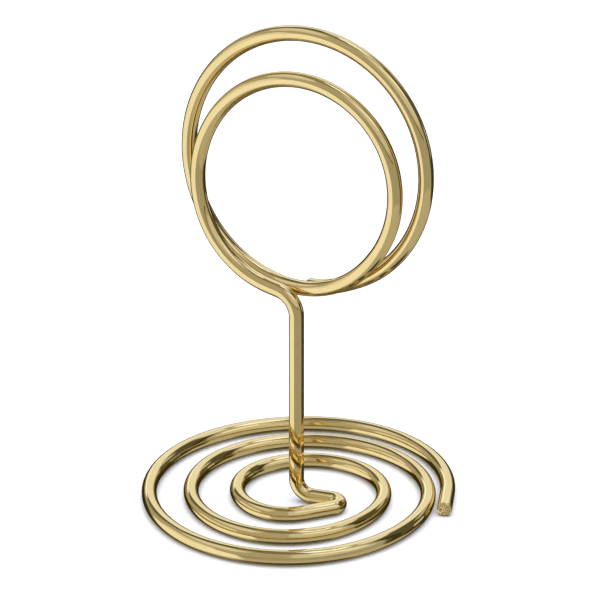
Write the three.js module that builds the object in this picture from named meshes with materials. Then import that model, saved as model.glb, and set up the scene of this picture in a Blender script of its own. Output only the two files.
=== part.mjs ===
// Table number holder: one length of round wire, coiled flat for a foot, stood up as a stem
// and wound twice at the top so that a card slips between the two loops.
// Millimetres. Z is up, the loops face -Y, and the origin is the bottom centre of the whole holder.
import * as THREE from 'three';

// wire
const WIRE_DIAMETER = 2.6;
const WIRE_SIDES = 12;
const TOUCH_GAP = 0.3;

// how long each straight facet of the swept wire is, and how many times shorter it gets
// on the coil's outside turn, which sets the foot's size, and in the small bends
const STEP_LENGTH = 2.1;
const FINER_ON_RIM = 1.4;
const FINER_IN_BEND = 3;
const CURVE_DIVISIONS = 1600;
const HEADING_STEP = 0.1;

// flat coil of the foot, wound inwards and anticlockwise seen from above, after a straight free end
const COIL_START_RADIUS = 29.15;
const COIL_PITCH = 6.3;
const COIL_PITCH_GROWTH = 0.4;
const COIL_START_ANGLE = 25.8;
const COIL_END_ANGLE = 1023;
const COIL_SET_BACK = 0.65;
const COIL_OVAL = 0.31;
const COIL_OVAL_ANGLE = 35;
const COIL_LOBE = 0.17;
const COIL_LOBE_ANGLE = 15;
const FREE_END_TUCK = 4.15;
const FREE_END_TUCK_TURNS = 0.29;
const FREE_END_RUN = 6.2;

// hairpin that turns the coil's inner end back to the centre, and the bend up into the stem
const HAIRPIN_LEG = 10.25;
const HAIRPIN_RADIUS = 1.75;
const FOOT_BEND_RADIUS = 2.9;

// two loops, each a ring a little out of round: angles count from the bottom, up the left side,
// and the wire passes from the front ring to the rear one as it crosses the bottom
const FRONT_LOOP = { radius: 18.2, across: -0.9, height: 57.2, oval: 0.6, ovalAngle: 25 };
const REAR_LOOP = { radius: 21.9, across: -0.4, height: 60.5, oval: 0.45, ovalAngle: 15 };
const LOOP_START_ANGLE = 13.5;
const LOOP_CHANGE_ANGLE = 360;
const LOOP_CHANGE_SPREAD = 55;
const LOOP_END_ANGLE = 721;
const LOOP_SET_BACK_PER_TURN = 2.9;
const REAR_END_SPRING = 0.5;
const REAR_END_SPRING_ANGLE = 25;
const NECK_BEND_RADIUS = 4.2;

const WIRE_RADIUS = WIRE_DIAMETER / 2;
const GOLD = { color: 0xcda85a, roughness: 0.12, metalness: 1.0 };
const radians = THREE.MathUtils.degToRad;

// a curve given by a function of 0..1
class Centreline extends THREE.Curve {
  constructor(pointAt) {
    super();
    this.pointAt = pointAt;
    this.arcLengthDivisions = CURVE_DIVISIONS;
  }

  getPoint(t, target = new THREE.Vector3()) {
    return target.copy(this.pointAt(t));
  }
}

// part of another curve, between two distances measured along it
class Stretch extends THREE.Curve {
  constructor(whole, from, to) {
    super();
    this.whole = whole;
    this.from = from / whole.getLength();
    this.to = to / whole.getLength();
  }

  getPoint(t, target = new THREE.Vector3()) {
    return target.copy(this.whole.getPointAt(THREE.MathUtils.lerp(this.from, this.to, t)));
  }
}

// radius of the flat coil at an angle in degrees: it closes in steadily from the outside,
// a little out of round, and the free end is tucked in over its first part turn
function coilRadius(angle) {
  const turns = angle / 360;
  const wound = COIL_PITCH * turns + COIL_PITCH_GROWTH * turns ** 2;
  const tuck = FREE_END_TUCK * (1 - THREE.MathUtils.smoothstep(turns, 0, FREE_END_TUCK_TURNS));
  const oval = COIL_OVAL * Math.cos(radians(2 * (angle + COIL_OVAL_ANGLE)));
  const lobe = COIL_LOBE * Math.cos(radians(3 * (angle + COIL_LOBE_ANGLE)));
  return COIL_START_RADIUS - wound - tuck - oval - lobe;
}

function coilPoint(angle) {
  const radius = coilRadius(angle);
  const x = radius * Math.cos(radians(angle));
  const y = COIL_SET_BACK + radius * Math.sin(radians(angle));
  return new THREE.Vector3(x, y, WIRE_RADIUS);
}

function ringPoint(ring, angle) {
  const radius = ring.radius + ring.oval * Math.cos(radians(2 * (angle - ring.ovalAngle)));
  const x = ring.across - radius * Math.sin(radians(angle));
  const z = ring.height - radius * Math.cos(radians(angle));
  return new THREE.Vector3(x, 0, z);
}

// the loops' route: front ring, then rear ring, leaning back steadily, its last end sprung outwards
function loopPoint(angle) {
  const changeStart = LOOP_CHANGE_ANGLE - LOOP_CHANGE_SPREAD;
  const changeEnd = LOOP_CHANGE_ANGLE + LOOP_CHANGE_SPREAD;
  const change = THREE.MathUtils.smoothstep(angle, changeStart, changeEnd);
  const springStart = LOOP_END_ANGLE - REAR_END_SPRING_ANGLE;
  const spring = REAR_END_SPRING * THREE.MathUtils.smoothstep(angle, springStart, LOOP_END_ANGLE);
  const outwards = new THREE.Vector3(-Math.sin(radians(angle)), 0, -Math.cos(radians(angle)));
  const point = ringPoint(FRONT_LOOP, angle).lerp(ringPoint(REAR_LOOP, angle), change);
  point.addScaledVector(outwards, spring);
  point.y = LOOP_SET_BACK_PER_TURN * (angle - LOOP_START_ANGLE) / 360;
  return point;
}

function sweepOf(pointAtAngle, from, to) {
  return new Centreline((t) => pointAtAngle(THREE.MathUtils.lerp(from, to, t)));
}

// rounded corner a-b-c: where it starts and ends, and the arc between
function bend(a, b, c, radius) {
  const toA = a.clone().sub(b).normalize();
  const toC = c.clone().sub(b).normalize();
  const corner = toA.angleTo(toC);
  const leg = radius / Math.tan(corner / 2);
  const start = b.clone().addScaledVector(toA, leg);
  const end = b.clone().addScaledVector(toC, leg);
  const halfway = toA.clone().add(toC).normalize();
  const centre = b.clone().addScaledVector(halfway, radius / Math.sin(corner / 2));
  const across = start.clone().sub(centre).normalize();
  const along = toA.clone().negate();
  const arc = new Centreline((t) => {
    const turn = (Math.PI - corner) * t;
    return centre.clone()
      .addScaledVector(across, radius * Math.cos(turn))
      .addScaledVector(along, radius * Math.sin(turn));
  });
  return { start, end, arc };
}

// two curves run one after the other
function joined(first, second) {
  const firstLength = first.getLength();
  const secondLength = second.getLength();
  return new Centreline((t) => {
    const distance = t * (firstLength + secondLength);
    if (distance < firstLength) {
      return first.getPointAt(distance / firstLength);
    }
    return second.getPointAt(Math.min(1, (distance - firstLength) / secondLength));
  });
}

// where the wire goes, bend by bend
const coilStart = coilPoint(COIL_START_ANGLE);
const startHeading = coilPoint(COIL_START_ANGLE + HEADING_STEP).sub(coilStart).normalize();
const freeEnd = coilStart.clone().addScaledVector(startHeading, -FREE_END_RUN);
const coilEnd = coilPoint(COIL_END_ANGLE);
const coilHeading = coilEnd.clone().sub(coilPoint(COIL_END_ANGLE - HEADING_STEP)).normalize();
const hairpinCorner = coilEnd.clone().addScaledVector(coilHeading, HAIRPIN_LEG);
const stemFoot = new THREE.Vector3(0, 0, WIRE_RADIUS);
const loopStart = loopPoint(LOOP_START_ANGLE);
const loopHeading = loopPoint(LOOP_START_ANGLE + HEADING_STEP).sub(loopStart).normalize();
const neckLeg = loopStart.x / loopHeading.x;
const neckCorner = loopStart.clone().addScaledVector(loopHeading, -neckLeg);
neckCorner.y = 0;

const hairpin = bend(coilEnd, hairpinCorner, stemFoot, HAIRPIN_RADIUS);
const footBend = bend(hairpinCorner, stemFoot, neckCorner, FOOT_BEND_RADIUS);
const neck = bend(stemFoot, neckCorner, loopStart, NECK_BEND_RADIUS);
const firstTurnEnd = COIL_START_ANGLE + 360;
const secondTurnEnd = COIL_START_ANGLE + 720;
const freeRun = new THREE.LineCurve3(freeEnd, coilStart);
const firstTurn = sweepOf(coilPoint, COIL_START_ANGLE, firstTurnEnd);
const lastTurn = sweepOf(coilPoint, secondTurnEnd, COIL_END_ANGLE);
const innerLeg = new THREE.LineCurve3(coilEnd, hairpin.start);
const neckRun = new THREE.LineCurve3(neck.end, loopStart);

const stretches = {
  outer_coil: {
    path: joined(freeRun, firstTurn),
    freeStart: true,
    finer: FINER_ON_RIM,
  },
  middle_coil: { path: sweepOf(coilPoint, firstTurnEnd, secondTurnEnd) },
  inner_coil: { path: joined(lastTurn, innerLeg) },
  hairpin_bend: { path: hairpin.arc, finer: FINER_IN_BEND },
  centre_arm: { path: new THREE.LineCurve3(hairpin.end, footBend.start) },
  foot_bend: { path: footBend.arc, finer: FINER_IN_BEND },
  stem: { path: new THREE.LineCurve3(footBend.end, neck.start) },
  neck_bend: { path: joined(neck.arc, neckRun), finer: FINER_IN_BEND },
  front_loop: { path: sweepOf(loopPoint, LOOP_START_ANGLE, LOOP_CHANGE_ANGLE) },
  rear_loop: { path: sweepOf(loopPoint, LOOP_CHANGE_ANGLE, LOOP_END_ANGLE), freeEnd: true },
};

// the wire's section: its flats touch the wire's round, and one lies flat on the table
function wireSection() {
  const corners = [];
  const cornerRadius = WIRE_RADIUS / Math.cos(Math.PI / WIRE_SIDES);
  for (let side = 0; side < WIRE_SIDES; side += 1) {
    const angle = (side + 0.5) * 2 * Math.PI / WIRE_SIDES;
    corners.push(new THREE.Vector2(cornerRadius * Math.cos(angle), cornerRadius * Math.sin(angle)));
  }
  return new THREE.Shape(corners);
}

function wireMesh(name, { path, freeStart = false, freeEnd = false, finer = 1 }) {
  const length = path.getLength();
  const from = freeStart ? 0 : TOUCH_GAP / 2;
  const to = freeEnd ? length : length - TOUCH_GAP / 2;
  const straight = path instanceof THREE.LineCurve3;
  const steps = straight ? 1 : Math.ceil(finer * (to - from) / STEP_LENGTH);
  const extrudePath = new Stretch(path, from, to);
  const geometry = new THREE.ExtrudeGeometry(wireSection(), { steps, extrudePath });
  const mesh = new THREE.Mesh(geometry, new THREE.MeshStandardMaterial(GOLD));
  mesh.name = name;
  return mesh;
}

const holder = new THREE.Group();
holder.name = 'table_number_holder';
for (const [name, stretch] of Object.entries(stretches)) {
  holder.add(wireMesh(name, stretch));
}

// move the origin to the middle of the bounding box's floor
const box = new THREE.Box3().setFromObject(holder);
const boxCentre = box.getCenter(new THREE.Vector3());
for (const mesh of holder.children) {
  mesh.geometry.translate(-boxCentre.x, -boxCentre.y, -box.min.z);
}

export default holder;
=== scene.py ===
"""Table number holder: one polished gold wire, coiled, stood up and looped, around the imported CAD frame.

Everything is in the CAD's own frame, +Z up, with the loops facing -Y. The wire's route is laid in mm and its
meshes are made in metres.
"""
import math

import bpy
import numpy as np
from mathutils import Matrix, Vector


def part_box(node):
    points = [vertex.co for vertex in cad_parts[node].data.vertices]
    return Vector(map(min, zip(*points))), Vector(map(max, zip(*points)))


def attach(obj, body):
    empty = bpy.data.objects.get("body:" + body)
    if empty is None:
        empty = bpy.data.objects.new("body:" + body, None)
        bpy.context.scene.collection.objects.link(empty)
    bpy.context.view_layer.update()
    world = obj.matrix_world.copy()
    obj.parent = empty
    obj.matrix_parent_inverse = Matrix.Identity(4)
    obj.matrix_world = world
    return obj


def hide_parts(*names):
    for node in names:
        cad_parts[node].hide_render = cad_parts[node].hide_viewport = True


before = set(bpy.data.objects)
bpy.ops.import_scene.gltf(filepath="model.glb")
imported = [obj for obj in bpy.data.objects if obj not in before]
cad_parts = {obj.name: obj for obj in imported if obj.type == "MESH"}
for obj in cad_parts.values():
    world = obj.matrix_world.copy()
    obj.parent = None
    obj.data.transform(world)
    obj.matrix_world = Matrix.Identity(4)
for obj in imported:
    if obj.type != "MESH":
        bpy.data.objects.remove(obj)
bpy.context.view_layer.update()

MM = 0.001

# ---------------------------------------------------------------- the wire's route, as the CAD lays it, in mm
WIRE_RADIUS = 1.3

COIL_START_RADIUS = 29.15
COIL_PITCH = 6.3
COIL_PITCH_GROWTH = 0.4
COIL_START_ANGLE = 25.8
COIL_END_ANGLE = 1023.0
COIL_SET_BACK = 0.65
COIL_OVAL = 0.31
COIL_OVAL_ANGLE = 35.0
COIL_LOBE = 0.17
COIL_LOBE_ANGLE = 15.0
FREE_END_TUCK = 4.15
FREE_END_TUCK_TURNS = 0.29
FREE_END_RUN = 6.2
HAIRPIN_LEG = 10.25
HAIRPIN_RADIUS = 1.75
FOOT_BEND_RADIUS = 2.9
FRONT_LOOP = {"radius": 18.2, "across": -0.9, "height": 57.2, "oval": 0.6, "oval_angle": 25.0}
REAR_LOOP = {"radius": 21.9, "across": -0.4, "height": 60.5, "oval": 0.45, "oval_angle": 15.0}
LOOP_START_ANGLE = 13.5
LOOP_CHANGE_ANGLE = 360.0
LOOP_CHANGE_SPREAD = 55.0
LOOP_END_ANGLE = 721.0
LOOP_SET_BACK_PER_TURN = 2.9
REAR_END_SPRING = 0.5
REAR_END_SPRING_ANGLE = 25.0
NECK_BEND_RADIUS = 4.2
HEADING_STEP = 0.1          # degrees between the two points that give a curve's heading

# ---------------------------------------------------------------- how finely it is made, in mm
SKIN = 0.014                # the drawn surface stays this far inside the CAD's faceted tube
SIDES = 32
STEP = 0.62                 # between rings of the wire's side
NOMINAL_TURN = 125.0        # wire in a middling turn, which sets how many rings every turn gets
BEND_STEP = 0.16
MIN_BEND_STEPS = 8
MIN_RUN_STEPS = 2
HINGE_GAP = 0.02            # between the front loop's end and the rear loop's start
END_BEVEL = 0.35            # radius of the rounded rim at a cut end
BEVEL_RINGS = 8
RINGS_UNDER_BEVEL = 2       # rings of the wire's side that a rounded rim takes the place of
UV_PER_MM = 0.008


def smooth(value, start, end):
    share = np.clip((value - start) / (end - start), 0.0, 1.0)
    return share ** 2 * (3.0 - 2.0 * share)


def coil_point(angle):
    """Flat spiral, closing in steadily, a little out of round, with its free end tucked in."""
    turns = angle / 360.0
    wound = COIL_PITCH * turns + COIL_PITCH_GROWTH * turns ** 2
    tuck = FREE_END_TUCK * (1.0 - smooth(turns, 0.0, FREE_END_TUCK_TURNS))
    oval = COIL_OVAL * np.cos(np.radians(2.0 * (angle + COIL_OVAL_ANGLE)))
    lobe = COIL_LOBE * np.cos(np.radians(3.0 * (angle + COIL_LOBE_ANGLE)))
    radius = COIL_START_RADIUS - wound - tuck - oval - lobe
    a = np.radians(angle)
    return np.stack([radius * np.cos(a), COIL_SET_BACK + radius * np.sin(a),
                     np.full_like(a, WIRE_RADIUS)], -1)


def ring_point(ring, angle):
    """Ring a little out of round: angles count from the bottom, up the left side."""
    radius = ring["radius"] + ring["oval"] * np.cos(np.radians(2.0 * (angle - ring["oval_angle"])))
    a = np.radians(angle)
    return np.stack([ring["across"] - radius * np.sin(a), np.zeros_like(a),
                     ring["height"] - radius * np.cos(a)], -1)


def loop_point(angle):
    """Front ring, then rear ring, leaning back steadily, its last end sprung outwards."""
    change = smooth(angle, LOOP_CHANGE_ANGLE - LOOP_CHANGE_SPREAD, LOOP_CHANGE_ANGLE + LOOP_CHANGE_SPREAD)
    spring = REAR_END_SPRING * smooth(angle, LOOP_END_ANGLE - REAR_END_SPRING_ANGLE, LOOP_END_ANGLE)
    front, rear = ring_point(FRONT_LOOP, angle), ring_point(REAR_LOOP, angle)
    point = front + (rear - front) * change[:, None]
    a = np.radians(angle)
    point[:, 0] -= spring * np.sin(a)
    point[:, 2] -= spring * np.cos(a)
    point[:, 1] = LOOP_SET_BACK_PER_TURN * (angle - LOOP_START_ANGLE) / 360.0
    return point


def unit(v):
    return v / np.linalg.norm(v, axis=-1, keepdims=True)


def corner(a, b, c, radius):
    """Rounded corner a-b-c: where it starts and ends, and the points of the arc between."""
    u, w = unit(a - b), unit(c - b)
    opening = math.acos(float(np.clip(u @ w, -1, 1)))
    leg = radius / math.tan(opening / 2)
    start, end = b + u * leg, b + w * leg
    centre = b + unit(u + w) * radius / math.sin(opening / 2)
    across, along = unit(start - centre), -u
    count = max(MIN_BEND_STEPS, int((math.pi - opening) * radius / BEND_STEP))
    t = np.linspace(0, math.pi - opening, count + 1)[:, None]
    return start, end, centre + radius * (across * np.cos(t) + along * np.sin(t))


def run(a, b):
    """Points of a straight run from a to b."""
    count = max(MIN_RUN_STEPS, int(np.linalg.norm(b - a) / STEP))
    return a + (b - a) * np.linspace(0, 1, count + 1)[:, None]


def turned(point_at, start, end):
    """Points of a curve given by a function of the angle."""
    count = int(abs(end - start) / 360.0 * NOMINAL_TURN / STEP)
    return point_at(np.linspace(start, end, count + 1))


def one(point_at, angle):
    return point_at(np.array([angle]))[0]


def joined(first, second):
    """Two lists of points, the first's last point being the second's first."""
    return np.concatenate([first, second[1:]])


def route():
    """The wire from the coil's cut end to the rear loop's: (node, points) stretches that meet end to end."""
    coil_start = one(coil_point, COIL_START_ANGLE)
    start_heading = unit(one(coil_point, COIL_START_ANGLE + HEADING_STEP) - coil_start)
    free_end = coil_start - start_heading * FREE_END_RUN
    coil_end = one(coil_point, COIL_END_ANGLE)
    coil_heading = unit(coil_end - one(coil_point, COIL_END_ANGLE - HEADING_STEP))
    hairpin_corner = coil_end + coil_heading * HAIRPIN_LEG
    stem_foot = np.array([0.0, 0.0, WIRE_RADIUS])
    loop_start = one(loop_point, LOOP_START_ANGLE)
    loop_heading = unit(one(loop_point, LOOP_START_ANGLE + HEADING_STEP) - loop_start)
    neck_corner = loop_start - loop_heading * (loop_start[0] / loop_heading[0])
    neck_corner[1] = 0.0
    hairpin_start, hairpin_end, hairpin = corner(coil_end, hairpin_corner, stem_foot, HAIRPIN_RADIUS)
    foot_start, foot_end, foot = corner(hairpin_corner, stem_foot, neck_corner, FOOT_BEND_RADIUS)
    neck_start, neck_end, neck = corner(stem_foot, neck_corner, loop_start, NECK_BEND_RADIUS)
    first_turn_end, second_turn_end = COIL_START_ANGLE + 360, COIL_START_ANGLE + 720
    first_turn = turned(coil_point, COIL_START_ANGLE, first_turn_end)
    last_turn = turned(coil_point, second_turn_end, COIL_END_ANGLE)
    return [
        ("outer_coil", joined(run(free_end, coil_start), first_turn)),
        ("middle_coil", turned(coil_point, first_turn_end, second_turn_end)),
        ("inner_coil", joined(last_turn, run(coil_end, hairpin_start))),
        ("hairpin_bend", hairpin),
        ("centre_arm", run(hairpin_end, foot_start)),
        ("foot_bend", foot),
        ("stem", run(foot_end, neck_start)),
        ("neck_bend", joined(neck, run(neck_end, loop_start))),
        ("front_loop", turned(loop_point, LOOP_START_ANGLE, LOOP_CHANGE_ANGLE)),
        ("rear_loop", turned(loop_point, LOOP_CHANGE_ANGLE, LOOP_END_ANGLE)),
    ]


# the route is laid with the stem at x = y = 0, and the CAD's origin is the middle of its box
stem_low, stem_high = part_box("stem")
SHIFT = np.array([(stem_low[0] + stem_high[0]) / 2, (stem_low[1] + stem_high[1]) / 2, 0.0])

stretches = route()
path = stretches[0][1]
first_and_last = {stretches[0][0]: (0, len(path) - 1)}
for name, points in stretches[1:]:
    first_and_last[name] = (len(path) - 1, len(path) + len(points) - 2)
    path = joined(path, points)

steps = np.linalg.norm(np.diff(path, axis=0), axis=1)
along_wire = np.concatenate([[0.0], np.cumsum(steps)])
tangent = unit(np.gradient(path, along_wire, axis=0))

# a frame carried along the wire without twist, so that draw marks run along it through every bend
side = np.zeros_like(path)
side[0] = [0, 0, 1]
for i in range(1, len(path)):
    side[i] = unit(side[i - 1] - tangent[i] * (side[i - 1] @ tangent[i]))
other = np.cross(tangent, side)


def wire_piece(name, cut_start=False, cut_end=False, start_gap=0.0, end_gap=0.0):
    """A closed stretch of wire with true round normals.

    A cut end has a rounded rim and the second material. The attribute straight_wire holds each point's place
    on the wire before it was bent: the distance along it, then the two offsets from its middle, in mm.
    """
    lo, hi = first_and_last[name]
    inset = {lo: start_gap, hi: -end_gap}
    radius = WIRE_RADIUS - SKIN
    turn = np.linspace(0, 2 * np.pi, SIDES, endpoint=False)
    cos, sin = np.cos(turn)[:, None], np.sin(turn)[:, None]
    rings, normals, marks = [], [], []

    def ring(i, r, shift=0.0, lean=0.0):
        out = side[i] * cos + other[i] * sin
        rings.append(path[i] + tangent[i] * shift + out * r)
        normals.append(unit(out * math.cos(lean) + tangent[i] * math.sin(lean)))
        marks.append(np.concatenate([np.full((SIDES, 1), along_wire[i] + shift), cos * r, sin * r], -1))

    def rounded_end(i, way):
        """Rings from the wire's side round onto its cut face; way is 1 at the wire's end, -1 at its start."""
        leans = [math.radians(90 * (k + 0.5) / BEVEL_RINGS) for k in range(BEVEL_RINGS)]
        for lean in leans if way > 0 else leans[::-1]:
            in_from_side = END_BEVEL * (1 - math.cos(lean))
            back_from_face = END_BEVEL * (1 - math.sin(lean))
            ring(i, radius - in_from_side, -way * back_from_face, way * lean)

    if cut_start:
        rounded_end(lo, -1)
    first_ring = lo + (RINGS_UNDER_BEVEL if cut_start else 0)
    last_ring = hi - (RINGS_UNDER_BEVEL if cut_end else 0)
    for i in range(first_ring, last_ring + 1):
        ring(i, radius, inset.get(i, 0.0))
    if cut_end:
        rounded_end(hi, 1)

    count = len(rings)
    faces = []
    for base in range(0, (count - 1) * SIDES, SIDES):
        for k in range(SIDES):
            following = (k + 1) % SIDES
            faces.append((base + k, base + following, base + SIDES + following, base + SIDES + k))
    side_faces = len(faces)
    # each end is closed by a fan of triangles about a middle point
    middles = [path[lo] + tangent[lo] * inset[lo], path[hi] + tangent[hi] * inset[hi]]
    middle_normals = [-tangent[lo], tangent[hi]]
    middle_marks = [[along_wire[lo], 0.0, 0.0], [along_wire[hi], 0.0, 0.0]]
    verts = np.concatenate(rings + [middles])
    vertex_normals = np.concatenate(normals + [middle_normals])
    straight = np.concatenate(marks + [middle_marks])
    start_middle, end_middle = count * SIDES, count * SIDES + 1
    last_base = (count - 1) * SIDES
    faces += [(start_middle, (k + 1) % SIDES, k) for k in range(SIDES)]
    faces += [(end_middle, last_base + k, last_base + (k + 1) % SIDES) for k in range(SIDES)]

    mesh = bpy.data.meshes.new(name + "_wire")
    mesh.from_pydata((verts * MM + SHIFT).tolist(), [], faces)
    mark = mesh.attributes.new("straight_wire", "FLOAT_VECTOR", "POINT")
    mark.data.foreach_set("vector", straight.astype(np.float32).ravel())
    uv = mesh.uv_layers.new(name="UVMap")
    girth = 2 * math.pi * radius
    loop_normals = []
    for poly in mesh.polygons:
        cap = poly.index >= side_faces
        cap_is_cut = cut_start if poly.index < side_faces + SIDES else cut_end
        flat = cap and not cap_is_cut
        poly.material_index = int(cap and cap_is_cut)
        for loop in poly.loop_indices:
            v = mesh.loops[loop].vertex_index
            around = (v % SIDES) / SIDES
            if around == 0 and poly.index % SIDES == SIDES - 1:
                around = 1.0
            uv.data[loop].uv = (straight[v][0] * UV_PER_MM, around * girth * UV_PER_MM)
            loop_normals.append(tuple(poly.normal) if flat else tuple(vertex_normals[v]))
    mesh.shade_smooth()
    mesh.normals_split_custom_set(loop_normals)
    piece = bpy.data.objects.new(name + "_wire", mesh)
    bpy.context.scene.collection.objects.link(piece)
    return piece


# ---------------------------------------------------------------- materials
# Noises on the straightened wire, in mm. A stretch of 0.05 along it makes marks 20 times longer than wide.
DRAW_MARKS = {"stretch": (0.05, 1.0, 1.0), "scale": 5.5, "detail": 6.0, "roughness": 0.6}
FINE_MARKS = {"stretch": (0.02, 1.0, 1.0), "scale": 26.0, "detail": 3.0, "roughness": 0.55}
CLOUDING = {"stretch": (0.16, 0.7, 0.7), "scale": 1.0, "detail": 3.0, "roughness": 0.5}
PITS = {"stretch": (1.0, 1.0, 1.0), "scale": 7.0, "detail": 2.0, "roughness": 0.5}
CUT_MARKS = {"stretch": (1.0, 1.0, 1.0), "scale": 1.1, "detail": 2.0, "roughness": 0.5}

# colours by noise value: the deeper one up to the first value, the paler one from the second
GOLD_COLOURS = ((0.30, (0.900, 0.690, 0.282, 1)), (0.72, (0.945, 0.742, 0.330, 1)))
CUT_COLOURS = ((0.35, (0.80, 0.60, 0.25, 1)), (0.68, (0.93, 0.72, 0.31, 1)))
GRAZING_TINT = (0.75, 0.68, 0.52, 1.0)

# (noise from, to), (roughness or height from, to)
DRAW_ROUGHNESS = ((0.35, 0.75), (0.006, 0.026))
CLOUD_ROUGHNESS = ((0.35, 0.70), (0.0, 0.014))
CUT_ROUGHNESS = ((0.3, 0.7), (0.02, 0.06))
PIT_HEIGHT = ((0.3, 0.7), (0.0, 0.35))
FINE_MARK_HEIGHT = 0.25
GOLD_BUMP = {"strength": 0.30, "distance": 0.000006}
CUT_BUMP = {"strength": 1.0, "distance": 0.0009}


def material(name):
    mat = bpy.data.materials.new(name)
    mat.use_nodes = True
    return mat, mat.node_tree, mat.node_tree.nodes["Principled BSDF"]


def add_node(tree, kind, inputs, **settings):
    """A node with its settings and inputs; an input is a number, a tuple, or another node's output to link."""
    made = tree.nodes.new(kind)
    for key, value in settings.items():
        setattr(made, key, value)
    for key, value in inputs.items():
        if isinstance(value, bpy.types.NodeSocket):
            tree.links.new(value, made.inputs[key])
        else:
            made.inputs[key].default_value = value
    return made


def wire_noise(tree, stretch, scale, detail, roughness):
    mark = add_node(tree, "ShaderNodeAttribute", {}, attribute_name="straight_wire")
    place = add_node(tree, "ShaderNodeMapping", {"Vector": mark.outputs["Vector"], "Scale": stretch})
    noise = add_node(tree, "ShaderNodeTexNoise", {"Vector": place.outputs["Vector"], "Scale": scale,
                                                  "Detail": detail, "Roughness": roughness})
    return noise.outputs["Fac"]


def ranged(tree, value, from_range, to_range):
    inputs = {"Value": value, "From Min": from_range[0], "From Max": from_range[1],
              "To Min": to_range[0], "To Max": to_range[1]}
    return add_node(tree, "ShaderNodeMapRange", inputs).outputs["Result"]


def coloured(tree, value, colours):
    ramp = add_node(tree, "ShaderNodeValToRGB", {"Fac": value})
    for element, (position, colour) in zip(ramp.color_ramp.elements, colours):
        element.position = position
        element.color = colour
    return ramp.outputs["Color"]


def calc(tree, operation, *values):
    made = add_node(tree, "ShaderNodeMath", dict(enumerate(values)), operation=operation)
    return made.outputs["Value"]


def bump(tree, height, strength, distance):
    inputs = {"Height": height, "Strength": strength, "Distance": distance}
    return add_node(tree, "ShaderNodeBump", inputs).outputs["Normal"]


def metal(name, make_inputs):
    """A metal whose colour, roughness and normal come from make_inputs."""
    mat, tree, shader = material(name)
    for socket, value in make_inputs(tree).items():
        tree.links.new(value, shader.inputs[socket])
    shader.inputs["Metallic"].default_value = 1.0
    shader.inputs["Specular Tint"].default_value = GRAZING_TINT
    return mat


def gold_inputs(tree):
    """Polished gold wire: long draw marks, faint clouding and pits."""
    draw = wire_noise(tree, **DRAW_MARKS)
    fine = wire_noise(tree, **FINE_MARKS)
    cloud = wire_noise(tree, **CLOUDING)
    pits = wire_noise(tree, **PITS)
    roughness = calc(tree, "ADD", ranged(tree, draw, *DRAW_ROUGHNESS), ranged(tree, cloud, *CLOUD_ROUGHNESS))
    small = calc(tree, "MULTIPLY_ADD", fine, FINE_MARK_HEIGHT, ranged(tree, pits, *PIT_HEIGHT))
    return {"Base Color": coloured(tree, cloud, GOLD_COLOURS),
            "Roughness": roughness,
            "Normal": bump(tree, calc(tree, "ADD", draw, small), **GOLD_BUMP)}


def cut_inputs(tree):
    """Sheared face of the wire's end, uneven and a little rougher."""
    marks = wire_noise(tree, **CUT_MARKS)
    return {"Base Color": coloured(tree, marks, CUT_COLOURS),
            "Roughness": ranged(tree, marks, *CUT_ROUGHNESS),
            "Normal": bump(tree, marks, **CUT_BUMP)}


gold, cut_gold = metal("gold_wire", gold_inputs), metal("cut_wire_end", cut_inputs)
for name, _ in stretches:
    piece = wire_piece(name, cut_start=name == "outer_coil", cut_end=name == "rear_loop",
                       start_gap=HINGE_GAP / 2 if name == "rear_loop" else 0.0,
                       end_gap=HINGE_GAP / 2 if name == "front_loop" else 0.0)
    piece.data.materials.append(gold)
    if name in ("outer_coil", "rear_loop"):
        piece.data.materials.append(cut_gold)
    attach(piece, "spring_loop" if name == "rear_loop" else "stand")
    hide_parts(name)

# ---------------------------------------------------------------- camera
CAMERA_AZIMUTH = 27.03
CAMERA_ELEVATION = 23.86
CAMERA_DISTANCE = 0.5733
CAMERA_LENS = 206.68
CAMERA_SENSOR = 36.0
CAMERA_AIM = (0.00053, 0.00027, 0.0374)     # measured from the foot of the stem
CLIP_START = 0.02
CLIP_END = 20.0

az, el = math.radians(CAMERA_AZIMUTH), math.radians(CAMERA_ELEVATION)
back = Vector((math.sin(az) * math.cos(el), -math.cos(az) * math.cos(el), math.sin(el)))
camera_data = bpy.data.cameras.new("camera")
camera_data.lens = CAMERA_LENS
camera_data.sensor_width = CAMERA_SENSOR
camera_data.clip_start = CLIP_START
camera_data.clip_end = CLIP_END
camera = bpy.data.objects.new("camera", camera_data)
camera.location = Vector(CAMERA_AIM) + Vector(SHIFT.tolist()) + back * CAMERA_DISTANCE
camera.rotation_euler = back.to_track_quat("Z", "Y").to_euler()
bpy.context.scene.collection.objects.link(camera)
bpy.context.scene.camera = camera

# ---------------------------------------------------------------- floor
FLOOR_SIZE = 3.0
FLOOR_DROP = 0.00002        # keeps it clear of the wire's underside
FLOOR_COLOUR = (0.838, 0.852, 0.888, 1)
FLOOR_ROUGHNESS = 0.9
FLOOR_SPECULAR = 0.1

half = FLOOR_SIZE / 2
floor_mesh = bpy.data.meshes.new("floor")
floor_corners = [(-half, -half, 0), (half, -half, 0), (half, half, 0), (-half, half, 0)]
floor_mesh.from_pydata(floor_corners, [], [(0, 1, 2, 3)])
floor = bpy.data.objects.new("floor", floor_mesh)
floor.location.z = -FLOOR_DROP
bpy.context.scene.collection.objects.link(floor)
floor_mat, _, floor_shader = material("pale_floor")
floor_shader.inputs["Base Color"].default_value = FLOOR_COLOUR
floor_shader.inputs["Roughness"].default_value = FLOOR_ROUGHNESS
floor_shader.inputs["Specular IOR Level"].default_value = FLOOR_SPECULAR
floor_mesh.materials.append(floor_mat)
floor.visible_glossy = False

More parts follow.
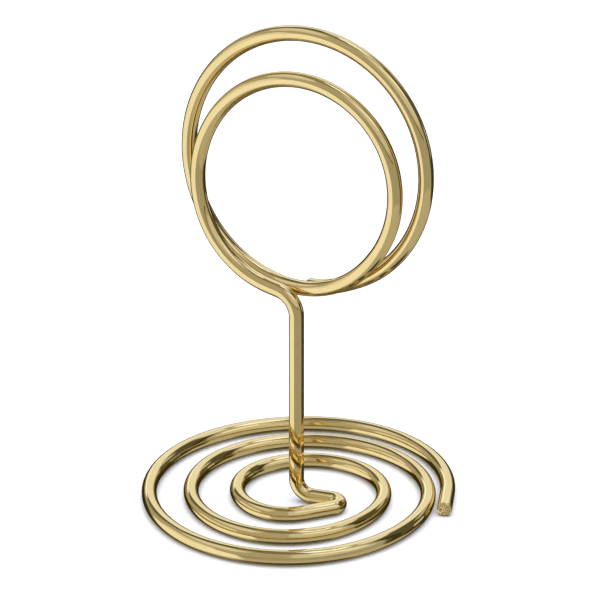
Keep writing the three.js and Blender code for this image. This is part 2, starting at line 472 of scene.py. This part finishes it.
# ---------------------------------------------------------------- light
OVERHEAD_SIZE = 1.2
OVERHEAD_HEIGHT = 0.9
OVERHEAD_WATTS = 12.4
lamp = bpy.data.lights.new("overhead", "AREA")
lamp.shape = "SQUARE"
lamp.size = OVERHEAD_SIZE
lamp.energy = OVERHEAD_WATTS
overhead = bpy.data.objects.new("overhead", lamp)
overhead.location = (0.0, 0.0, OVERHEAD_HEIGHT)
overhead.visible_glossy = False
bpy.context.scene.collection.objects.link(overhead)

# The studio around the object, by direction: a grey room with white cards, soft boxes and black flags.
# Each card: azimuth and elevation of its middle, half its width and height, and its tilt, in degrees
# (0 is +X, 90 is +Y), then how bright it is and how cool its light is. A later card covers an earlier one.
ROOM = 0.43
BACKDROP = 0.93             # what the camera sees past the floor
COOL_GREEN = 0.5            # how much of a card's coolness goes to its green, and to its blue
COOL_BLUE = 2.5
CARD_SQUARENESS = 5.0       # 2 would be an oval, and much more a sharp-cornered box
CARD_SOFTNESS = 0.08        # share of a card's size over which its edge fades
CARDS = [
    ("table", -40, -45, 130, 18, 0, 0.48, 0.02),
    ("low_front", -40, -12, 75, 15, 0, 0.38, 0.02),
    ("under", 0, -90, 180, 24, 0, 0.06, 0.00),
    ("ceiling", 0, 90, 180, 15, 0, 0.20, 0.00),
    ("soft_box_left", -145, 55, 35, 14, 0, 0.70, 0.10),
    ("soft_box_front", -25, 40, 35, 28, 0, 0.62, 0.09),
    ("strip_front", -15, 48, 25, 8, -30, 1.00, 0.13),
    ("flag_right", 45, 10, 30, 42, -5, 0.10, -0.08),
    ("flag_right_edge", 25, 5, 5, 38, 0, 0.05, -0.25),
    ("flag_low", 65, -20, 30, 12, 0, 0.05, -0.25),
    ("card_low", 50, -3, 7, 8, 0, 0.60, 0.05),
    ("card_high", 67, 25, 10, 6, 0, 0.55, 0.05),
    ("flag_behind", 121, -28, 50, 34, 0, 0.045, -0.25),
    ("flag_column", 155, 50, 15, 30, -10, 0.14, 0.00),
    ("window", 112, 33, 30, 26, -10, 0.92, 0.18),
    ("flag_above_window", 142, 60, 25, 14, 0, 0.12, 0.00),
    ("strip_overhead_low", 56, 57, 24, 6, 0, 0.80, 0.18),
    ("strip_overhead", 57, 74, 46, 8, 0, 1.10, 0.30),
    ("strip_glow", 55, 80, 20, 3, 0, 1.50, 0.30),
    ("sill_glow", 136, 18, 14, 3, 0, 1.30, 0.28),
    ("horizon", -63, 6, 50, 1.5, -3, 0.08, -0.10),
    ("lamp_left_high", -147, 6, 26, 19, 0, 0.78, 0.05),
    ("lamp_left_low", -143, -22, 42, 30, 0, 0.95, 0.08),
]

world = bpy.data.worlds.new("studio")
bpy.context.scene.world = world
world.use_nodes = True
studio = world.node_tree
studio.nodes.clear()

direction = add_node(studio, "ShaderNodeTexCoord", {}).outputs["Generated"]
split = add_node(studio, "ShaderNodeSeparateXYZ", {"Vector": direction})
azimuth = calc(studio, "DEGREES", calc(studio, "ARCTAN2", split.outputs["Y"], split.outputs["X"]))
elevation = calc(studio, "DEGREES", calc(studio, "ARCSINE", split.outputs["Z"]))


def card_mask(card_az, card_el, half_az, half_el, tilt):
    """1 inside a tilted card with round corners, by direction, 0 outside it, smooth across its edge."""
    x = calc(studio, "WRAP", calc(studio, "SUBTRACT", azimuth, card_az), -180.0, 180.0)
    y = calc(studio, "SUBTRACT", elevation, card_el)
    c, s = math.cos(math.radians(tilt)), math.sin(math.radians(tilt))
    along = calc(studio, "ADD", calc(studio, "MULTIPLY", x, c), calc(studio, "MULTIPLY", y, s))
    across = calc(studio, "SUBTRACT", calc(studio, "MULTIPLY", y, c), calc(studio, "MULTIPLY", x, s))
    powers = []
    for offset, half_size in ((along, half_az), (across, half_el)):
        share = calc(studio, "ABSOLUTE", calc(studio, "MULTIPLY", offset, 1.0 / half_size))
        powers.append(calc(studio, "POWER", share, CARD_SQUARENESS))
    reach = calc(studio, "POWER", calc(studio, "ADD", *powers), 1.0 / CARD_SQUARENESS)
    inputs = {"Value": reach, "From Min": 1.0 + CARD_SOFTNESS, "From Max": 1.0 - CARD_SOFTNESS}
    fade = add_node(studio, "ShaderNodeMapRange", inputs, interpolation_type="SMOOTHSTEP")
    return fade.outputs["Result"]


colour = (ROOM, ROOM, ROOM, 1)
for name, *shape, light, cool in CARDS:
    card_colour = (light, light * (1 + COOL_GREEN * cool), light * (1 + COOL_BLUE * cool), 1)
    mix = add_node(studio, "ShaderNodeMix", {"Factor": card_mask(*shape), "A": colour, "B": card_colour},
                   data_type="RGBA", label=name)
    colour = mix.outputs["Result"]

# reflections see the cards, and the camera sees a plain backdrop
cards = add_node(studio, "ShaderNodeBackground", {"Color": colour})
plain = add_node(studio, "ShaderNodeBackground", {"Color": (BACKDROP, BACKDROP, BACKDROP, 1)})
seen = add_node(studio, "ShaderNodeLightPath", {})
choose = add_node(studio, "ShaderNodeMixShader", {"Fac": seen.outputs["Is Camera Ray"],
                                                  1: cards.outputs["Background"],
                                                  2: plain.outputs["Background"]})
add_node(studio, "ShaderNodeOutputWorld", {"Surface": choose.outputs["Shader"]})

bpy.context.scene.view_settings.view_transform = "Standard"
bpy.context.scene.view_settings.look = "None"
